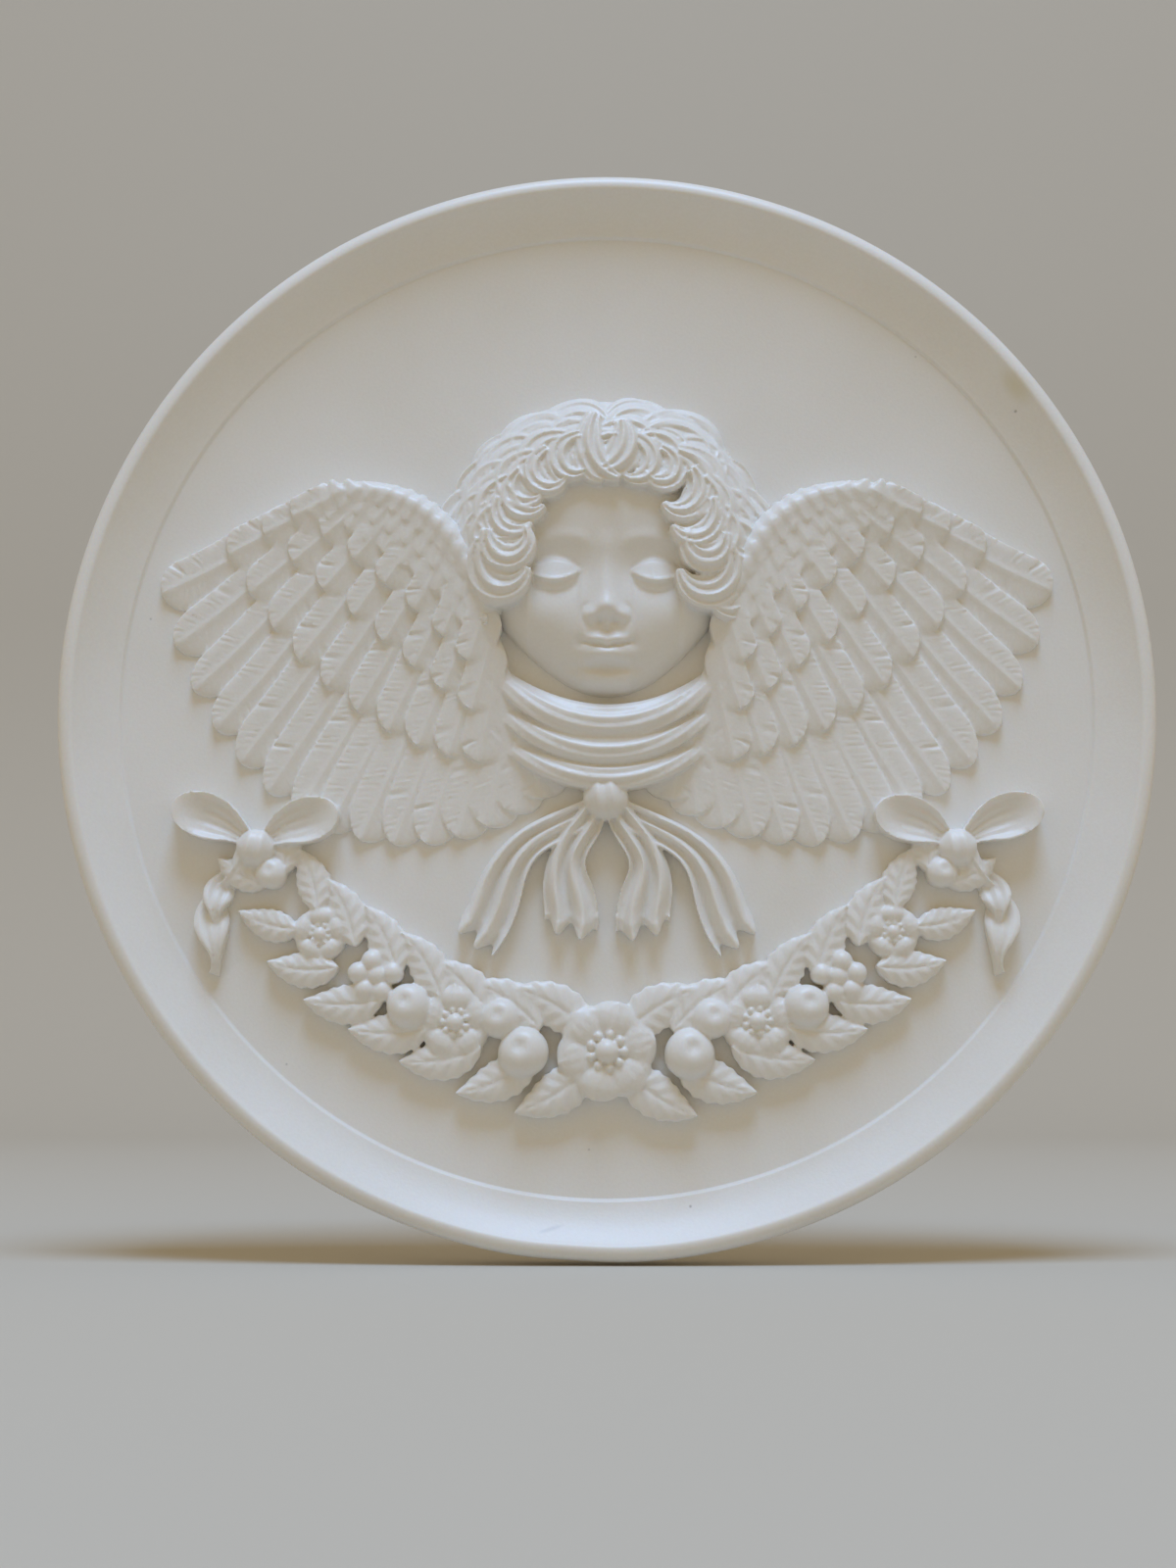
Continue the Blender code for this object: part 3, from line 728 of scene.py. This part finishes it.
def add_bow(relief):
    for heading, length, droop in LOOPS:
        blade(relief, BOW, math.radians(heading), length, LOOP_WIDTH, petal_outline, loop_height,
              bend=droop, rows=44, columns=24)
    blade(relief, BOW, math.radians(-72.0), 18.5, 4.6, ribbon_outline, tail_height, wave=0.5, rows=60,
          columns=14)
    blade(relief, BOW, math.radians(-28.0), 12.5, 4.0, ribbon_outline, tail_height, bend=-1.3, rows=44,
          columns=14)
    ball(relief, BOW, 2.5, 1.8, flat=0.9, pleats=0.18)


print("bows at", tuple(BOW), "and mirrored")

# %% [markdown]
# ## Fusing the clay
# Hundreds of strips overlap. First a slow drift of a third of a millimetre runs through everything, so
# that the two sides aren't exact mirrors. Then a voxel remesh melts the strips into one skin, as wet clay
# joins, and Decimate thins the plain areas, so that the triangles go where the carving is.

# %% Fuse
DRIFT = 0.35
DRIFT_SPACING = 16.0


def add_object(name, piece):
    mesh = bpy.data.meshes.new(name)
    piece.to_mesh(mesh)
    piece.free()
    thing = bpy.data.objects.new(name, mesh)
    bpy.context.scene.collection.objects.link(thing)
    return thing


def finished(thing):
    bpy.context.view_layer.update()
    graph = bpy.context.evaluated_depsgraph_get()
    return bpy.data.meshes.new_from_object(thing.evaluated_get(graph), depsgraph=graph)


def fuse(name, builders, triangles):
    relief = bmesh.new()
    for builder in builders:
        builder(relief)
    for vert in relief.verts:
        at = vert.co / DRIFT_SPACING
        vert.co.x += DRIFT * noise.noise(Vector((at.x, at.y, 3.0)))
        vert.co.y += DRIFT * noise.noise(Vector((at.x, at.y, 8.0)))
    thing = add_object(name, relief)
    skin = thing.modifiers.new("skin", "REMESH")
    skin.mode = "VOXEL"
    skin.voxel_size = CLAY_GRAIN
    thing.data = finished(thing)
    thing.modifiers.clear()
    thin = thing.modifiers.new("thin", "DECIMATE")
    thin.ratio = min(1.0, triangles / sum(len(polygon.vertices) - 2 for polygon in thing.data.polygons))
    thing.data = finished(thing)
    thing.modifiers.clear()
    print(name, len(thing.data.polygons), "triangles")
    return thing


ornament_builders = (add_feathers, add_arm, add_folds, add_scarf_ends, add_garland, add_blossoms, add_bow)
ornament = fuse("ornament", ornament_builders, ORNAMENT_TRIANGLES)
head = fuse("head", (add_head, add_cap, add_locks, add_forelocks), HEAD_TRIANGLES)

# %% [markdown]
# ## The dish
# The body is turned: half a section, spun round the axis. A potter's profile runs from the middle of
# the field, over the step, the cove and the lip, and back round the rear to the foot ring. The cove is
# a curve that steepens towards the lip, which rolls on a little past its widest point, and every edge of
# a casting is a little soft.

# %% The front's section
STEP_STEPS = 6
COVE_STEPS = 14
CREST_STEPS = 5
LIP_STEPS = 12
LIP_TURN = 105.0


def front_section():
    crest = PLAQUE_RADIUS - LIP_SHOULDER
    cove_start, cove_end = FIELD_RADIUS + STEP_WIDTH, crest - LIP_INSIDE
    section = [(0.0, 0.0)]
    for i in range(STEP_STEPS + 1):
        share = i / STEP_STEPS
        section.append((FIELD_RADIUS + STEP_WIDTH * share, STEP_HEIGHT * ease(0.0, 1.0, share)))
    for i in range(1, COVE_STEPS + 1):
        share = i / COVE_STEPS
        rise = share * (1.0 + COVE_HOLLOW * (share - 1.0))
        section.append((cove_start + (cove_end - cove_start) * share,
                        STEP_HEIGHT + (COVE_HEIGHT - STEP_HEIGHT) * rise))
    inner_side = [(cove_end, COVE_HEIGHT), (cove_end + 0.25, COVE_HEIGHT + 0.28), (crest - 0.3, LIP_HEIGHT),
                  (crest, LIP_HEIGHT)]
    section += [tuple(bezier(inner_side, i / CREST_STEPS)) for i in range(1, CREST_STEPS + 1)]
    for i in range(1, LIP_STEPS + 1):
        turn = math.radians(90.0 - LIP_TURN * i / LIP_STEPS)
        section.append((crest + LIP_SHOULDER * math.cos(turn),
                        LIP_HEIGHT + LIP_SHOULDER * (math.sin(turn) - 1.0)))
    return section


print("points in the front's section", len(front_section()))

# %% [markdown]
# The rear is hidden against the wall, so it is plain: a side that tapers for the mould, a flat back, and
# the foot ring. Its corners are rounded with a few points each. The ring's two sides are mirror images,
# so each point is written once, as how far it lies outside the ring and over the flat back.

# %% The rear's section
REAR = -BODY_THICKNESS
SIDE_CORNER = [(0.68 * DRAFT, 1.1), (0.8 * DRAFT, 0.62), (DRAFT + 0.1, 0.2), (DRAFT + 0.7, 0.02),
               (DRAFT + 1.2, 0.0)]
RING_SIDE = [(1.3, 0.0), (0.8, -0.12), (0.55, -0.6), (0.1, 0.4 - FOOT_HEIGHT), (-0.1, 0.12 - FOOT_HEIGHT),
             (-0.4, -FOOT_HEIGHT)]


def rear_section():
    section = [(PLAQUE_RADIUS - inset, REAR + height) for inset, height in SIDE_CORNER]
    section += [(FOOT_RADIUS + FOOT_WIDTH / 2 + out, REAR + height) for out, height in RING_SIDE]
    section += [(FOOT_RADIUS - FOOT_WIDTH / 2 - out, REAR + height) for out, height in reversed(RING_SIDE)]
    return section + [(0.0, REAR)]


print("points in the rear's section", len(rear_section()))

# %% [markdown]
# A cast rim is wiped and fettled by hand, so it is never a perfect circle. A slow noise, about a tenth of
# a millimetre deep, runs round it, and at the bottom the edge has been rubbed a little flat.

# %% Turn the dish
DISH_SEGMENTS = 240
RIM_WANDER = 0.14
RUBBED_FLAT = 0.22
RUBBED_AT = -math.pi / 2 - 0.06
RUBBED_SPREAD = 0.075


def settle_rim(vert):
    radius = math.hypot(vert.co.x, vert.co.y)
    if radius < FIELD_RADIUS + 1.0:
        return
    angle = math.atan2(vert.co.y, vert.co.x)
    share = ease(FIELD_RADIUS + 1.0, PLAQUE_RADIUS, radius)
    wander = RIM_WANDER * noise.noise(Vector((2.2 * math.cos(angle), 2.2 * math.sin(angle), 4.0)))
    flat = RUBBED_FLAT * line(angle - RUBBED_AT, RUBBED_SPREAD)
    grown = 1.0 + share * (wander - flat) / radius
    lift = 0.6 * RIM_WANDER * noise.noise(Vector((3.0 * math.cos(angle), 3.0 * math.sin(angle), 9.0)))
    vert.co.x *= grown
    vert.co.y *= grown
    vert.co.z += share * lift if vert.co.z > 0.0 else 0.0


def turn_dish():
    dish = bmesh.new()
    verts = [dish.verts.new((r, 0.0, z)) for r, z in front_section() + rear_section()]
    edges = [dish.edges.new(pair) for pair in zip(verts, verts[1:])]
    bmesh.ops.spin(dish, geom=verts + edges, cent=(0, 0, 0), axis=(0, 0, 1), angle=2 * math.pi,
                   steps=DISH_SEGMENTS, use_merge=True)
    bmesh.ops.remove_doubles(dish, verts=dish.verts[:], dist=0.001)
    for vert in dish.verts:
        settle_rim(vert)
    bmesh.ops.recalc_face_normals(dish, faces=dish.faces[:])
    return add_object("porcelain_plaque", dish)


plaque = turn_dish()
print("dish", len(plaque.data.polygons), "faces")

# %% [markdown]
# ## Cord holes, and one casting
# Two round rods cut the holes for the cord through the top of the foot ring. Booleans with the exact
# solver then join the relief to the dish and take the rods away, so the plaque is one closed skin, as
# the real casting is. At the end it is stood upright, in metres, where the solid stands.

# %% Join everything
UPRIGHT = Matrix.Rotation(math.pi / 2, 4, "X")
SHARP_FROM = math.radians(38.0)


def cord_rods():
    rods = bmesh.new()
    for side in (-1.0, 1.0):
        place = Vector((side * CORD_HOLE_SPACING / 2, FOOT_RADIUS, -BODY_THICKNESS - FOOT_HEIGHT / 2))
        bmesh.ops.create_cone(rods, cap_ends=True, segments=32, radius1=CORD_HOLE_RADIUS,
                              radius2=CORD_HOLE_RADIUS, depth=3 * FOOT_WIDTH,
                              matrix=Matrix.Translation(place) @ UPRIGHT)
    return add_object("rods", rods)


helpers = [(ornament, "UNION"), (head, "UNION"), (cord_rods(), "DIFFERENCE")]
for helper, operation in helpers:
    step = plaque.modifiers.new(helper.name, "BOOLEAN")
    step.operation = operation
    step.object = helper
casting = finished(plaque)
plaque.modifiers.clear()
for helper, _ in helpers:
    bpy.data.objects.remove(helper)
hang_point = Vector((0.0, FOOT_RADIUS, -BODY_THICKNESS - FOOT_HEIGHT))
casting.transform(UPRIGHT @ Matrix.Scale(MM, 4) @ Matrix.Translation(-hang_point))
casting.shade_smooth()
casting.set_sharp_from_angle(angle=SHARP_FROM)
plaque.data = casting
print("casting", sum(len(polygon.vertices) - 2 for polygon in casting.polygons), "triangles")

# %% [markdown]
# ## Bisque porcelain
# Bisque is porcelain fired without glaze. It is white, very fine grained and soft to the eye, because
# light goes a little way into it and comes out again. Its sharp ridges are handled smooth and shine
# like satin. The white is warm and mottled by a few parts in a hundred. Two helpers come first: one
# turns a hex colour to the linear one that a shader works in, and one adds a node with its links.

# %% Node helpers
def linear(hex_colour):
    channels = [int(hex_colour[i:i + 2], 16) / 255 for i in (1, 3, 5)]
    return tuple(c / 12.92 if c <= 0.04045 else ((c + 0.055) / 1.055) ** 2.4 for c in channels) + (1.0,)


def add_node(tree, kind, settings=None, values=None, links=None):
    node = tree.nodes.new(kind)
    for name, value in (settings or {}).items():
        setattr(node, name, value)
    for socket, value in (values or {}).items():
        node.inputs[socket].default_value = value
    for socket, source in (links or {}).items():
        tree.links.new(source, node.inputs[socket])
    return node


DARKER_WHITE, LIGHTER_WHITE = "#E7E3DA", "#F1EEE9"
print("darker white, linear", [round(c, 3) for c in linear(DARKER_WHITE)])

# %% [markdown]
# ## Marks of age
# A white thing that has hung for years isn't spotless. There is a faint yellow stain on the rim, a grey
# scuff low on the cove, and a few specks, each a soft oval. A Mapping node of the kind Texture divides by
# the oval's half sizes, so the length of what comes out is 0 at its middle and 1 at its edge.

# %% Soft ovals for marks
def mark(tree, place, spot, strength):
    (x, y), (half_width, half_height), turn = spot
    centre = (x * MM, -(BODY_THICKNESS + FOOT_HEIGHT + LIP_HEIGHT / 2) * MM, (y - FOOT_RADIUS) * MM)
    oval = add_node(tree, "ShaderNodeMapping", {"vector_type": "TEXTURE"},
                    {"Location": centre, "Rotation": (0.0, math.radians(turn), 0.0),
                     "Scale": (half_width * MM, LIP_HEIGHT * MM, half_height * MM)}, {"Vector": place})
    away = add_node(tree, "ShaderNodeVectorMath", {"operation": "LENGTH"}, links={0: oval.outputs["Vector"]})
    fade = add_node(tree, "ShaderNodeMapRange", {"interpolation_type": "SMOOTHSTEP"},
                    {"From Min": 1.0, "From Max": 0.2, "To Max": strength}, {"Value": away.outputs["Value"]})
    return fade.outputs["Result"]


STAIN = ((55.1, 43.0), (1.9, 4.2), -38.0)
SCUFF = ((-7.2, -68.2), (2.4, 0.4), -16.0)
SPECKS = [(10.8, -65.4), (-2.3, -58.2), (-41.8, -47.2), (42.0, 48.0), (55.0, 39.8), (-61.0, 12.0)]
MARKS = [(STAIN, "#D2C48C", 0.4), (SCUFF, "#A9A9AC", 0.25)]
MARKS += [((centre, (0.28, 0.28), 0.0), "#6F675C", 0.5) for centre in SPECKS]
print("marks", len(MARKS))

# %% [markdown]
# ## The finish of the porcelain
# Clouds of colour about 2 cm across are mixed first, then a grain. True bisque has a grain of some
# hundredths of a millimetre, too fine to show, so it is drawn at 0.4 mm. A little subsurface light, redder
# than it is blue, warms the thin edges and the hollows, and a weak satin coat gives ridges their glint.

# %% The bisque material
GRAIN_SCALE = 1.0 / (0.4 * MM)
CLOUD_SCALE = 1.0 / (20.0 * MM)


def bisque_porcelain():
    material = bpy.data.materials.new("bisque_porcelain")
    material.use_nodes = True
    tree = material.node_tree
    shader = tree.nodes["Principled BSDF"]
    place = add_node(tree, "ShaderNodeTexCoord").outputs["Object"]
    cloud = add_node(tree, "ShaderNodeTexNoise", values={"Scale": CLOUD_SCALE, "Detail": 4.0},
                     links={"Vector": place})
    grain = add_node(tree, "ShaderNodeTexNoise", values={"Scale": GRAIN_SCALE, "Detail": 2.0},
                     links={"Vector": place})
    mottle = add_node(tree, "ShaderNodeMix", {"data_type": "RGBA"},
                      {"A": linear(DARKER_WHITE), "B": linear(LIGHTER_WHITE)},
                      {"Factor": cloud.outputs["Fac"]})
    colour = add_node(tree, "ShaderNodeMix", {"data_type": "RGBA", "blend_type": "SOFT_LIGHT"},
                      {"Factor": 0.2}, {"A": mottle.outputs["Result"], "B": grain.outputs["Fac"]})
    for spot, tint, strength in MARKS:
        colour = add_node(tree, "ShaderNodeMix", {"data_type": "RGBA"}, {"B": linear(tint)},
                          {"Factor": mark(tree, place, spot, strength), "A": colour.outputs["Result"]})
    tree.links.new(colour.outputs["Result"], shader.inputs["Base Color"])
    satin = add_node(tree, "ShaderNodeMapRange", values={"To Min": 0.40, "To Max": 0.54},
                     links={"Value": cloud.outputs["Fac"]})
    tree.links.new(satin.outputs["Result"], shader.inputs["Roughness"])
    bump = add_node(tree, "ShaderNodeBump", values={"Strength": 0.3, "Distance": 0.05 * MM},
                    links={"Height": grain.outputs["Fac"]})
    tree.links.new(bump.outputs["Normal"], shader.inputs["Normal"])
    shader.inputs["Metallic"].default_value = 0.0
    shader.inputs["Coat Weight"].default_value = 0.12
    shader.inputs["Coat Roughness"].default_value = 0.22
    shader.inputs["Subsurface Weight"].default_value = 0.25
    shader.inputs["Subsurface Radius"].default_value = (1.0, 0.7, 0.45)
    shader.inputs["Subsurface Scale"].default_value = 0.7 * MM
    return material


plaque.data.materials.clear()
plaque.data.materials.append(bisque_porcelain())
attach(plaque, "root")
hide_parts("plaque")
print("material", plaque.data.materials[0].name)

# %% [markdown]
# ## Floor, light and camera
# A pale sweep of floor lies just under the plaque and turns up well behind it, so the plaque can be looked
# at from all sides.
# It is one sheet of paper that turns up in a quarter circle, so no corner shows behind the plaque.

# %% Floor and backdrop
FIELD_CENTRE = Vector((0.0, -(BODY_THICKNESS + FOOT_HEIGHT) * MM, -FOOT_RADIUS * MM))
FLOOR_GAP = 0.3
SWEEP_WIDTH, SWEEP_FRONT, SWEEP_BACK, SWEEP_TOP, SWEEP_CORNER = 3.2, -1.6, 0.8, 1.4, 0.25


def sweep_path():
    floor_level = FIELD_CENTRE.z - (PLAQUE_RADIUS + FLOOR_GAP) * MM
    turn_y, turn_z = SWEEP_BACK - SWEEP_CORNER, floor_level + SWEEP_CORNER
    path = [(SWEEP_FRONT, floor_level), (turn_y, floor_level)]
    for k in range(1, 10):
        angle = math.radians(10.0 * k)
        path.append((turn_y + SWEEP_CORNER * math.sin(angle), turn_z - SWEEP_CORNER * math.cos(angle)))
    return path + [(SWEEP_BACK, SWEEP_TOP)]


def studio_sweep():
    sweep = bmesh.new()
    verts = [sweep.verts.new((-SWEEP_WIDTH / 2, y, z)) for y, z in sweep_path()]
    edges = [sweep.edges.new(pair) for pair in zip(verts, verts[1:])]
    made = bmesh.ops.extrude_edge_only(sweep, edges=edges)
    far_side = [item for item in made["geom"] if isinstance(item, bmesh.types.BMVert)]
    bmesh.ops.translate(sweep, vec=(SWEEP_WIDTH, 0, 0), verts=far_side)
    bmesh.ops.recalc_face_normals(sweep, faces=sweep.faces[:])
    thing = add_object("studio_sweep", sweep)
    thing.data.shade_smooth()
    paper = bpy.data.materials.new("warm_paper")
    paper.use_nodes = True
    shader = paper.node_tree.nodes["Principled BSDF"]
    shader.inputs["Base Color"].default_value = linear("#CBC3B4")
    shader.inputs["Roughness"].default_value = 0.9
    thing.data.materials.append(paper)
    return thing


sweep = studio_sweep()
print("sweep", [round(x, 2) for x in sweep.dimensions])

# %% [markdown]
# The main light is a cool window, high above and some way off. It rakes down over the relief and makes
# the lower cove bright. The upper cove sees only the room, whose light is warmer. Where the room itself
# is seen past the edge of the sweep, Light Path gives it the pale tone of the sweep.

# %% Lights
WINDOW_PLACE = Vector((0.05, -0.51, 1.4))
WINDOW_SIZE, WINDOW_WATTS, WINDOW_COLOUR = 0.6, 17.6, "#A7CDFF"
ROOM_STRENGTH, ROOM_LIGHT_COLOUR, ROOM_SEEN_COLOUR = 0.47, "#FFE7B7", "#F3F0EA"


def hang_window():
    data = bpy.data.lights.new("window", "AREA")
    data.size, data.energy, data.color = WINDOW_SIZE, WINDOW_WATTS, linear(WINDOW_COLOUR)[:3]
    light = bpy.data.objects.new("window", data)
    light.location = FIELD_CENTRE + WINDOW_PLACE
    light.rotation_mode = "QUATERNION"
    light.rotation_quaternion = (-WINDOW_PLACE).to_track_quat("-Z", "Y")
    bpy.context.scene.collection.objects.link(light)


def light_room():
    world = bpy.data.worlds.new("studio")
    bpy.context.scene.world = world
    world.use_nodes = True
    room = world.node_tree.nodes["Background"]
    room.inputs["Strength"].default_value = ROOM_STRENGTH
    ray = add_node(world.node_tree, "ShaderNodeLightPath")
    colour = add_node(world.node_tree, "ShaderNodeMix", {"data_type": "RGBA"},
                      {"A": linear(ROOM_LIGHT_COLOUR), "B": linear(ROOM_SEEN_COLOUR)},
                      {"Factor": ray.outputs["Is Camera Ray"]})
    world.node_tree.links.new(colour.outputs["Result"], room.inputs["Color"])


hang_window()
light_room()
bpy.context.scene.view_settings.view_transform = "Standard"

# %% [markdown]
# The camera looks a little up at the plaque from 30 cm away, as a phone held close does. The middle
# of the disc lies slightly right of and above the middle of the picture, so the camera aims beside it.

# %% Camera
FOCAL_PIXELS, FRAME_PIXELS, SENSOR = 2314.0, 1600.0, 36.0
CAMERA_DISTANCE, CAMERA_BELOW = 0.302, math.radians(9.14)
AIM_BESIDE = Vector((-0.00242, 0.0, -0.01034))
camera = bpy.data.objects.new("camera", bpy.data.cameras.new("camera"))
bpy.context.scene.collection.objects.link(camera)
bpy.context.scene.camera = camera
camera.data.sensor_width = SENSOR
camera.data.lens = SENSOR * FOCAL_PIXELS / FRAME_PIXELS
camera.data.clip_start = 0.01
view_line = Vector((0.0, -math.cos(CAMERA_BELOW), -math.sin(CAMERA_BELOW)))
camera.location = FIELD_CENTRE + CAMERA_DISTANCE * view_line
camera.rotation_mode = "QUATERNION"
camera.rotation_quaternion = (FIELD_CENTRE + AIM_BESIDE - camera.location).to_track_quat("-Z", "Y")
print("lens", round(camera.data.lens, 1), "mm")
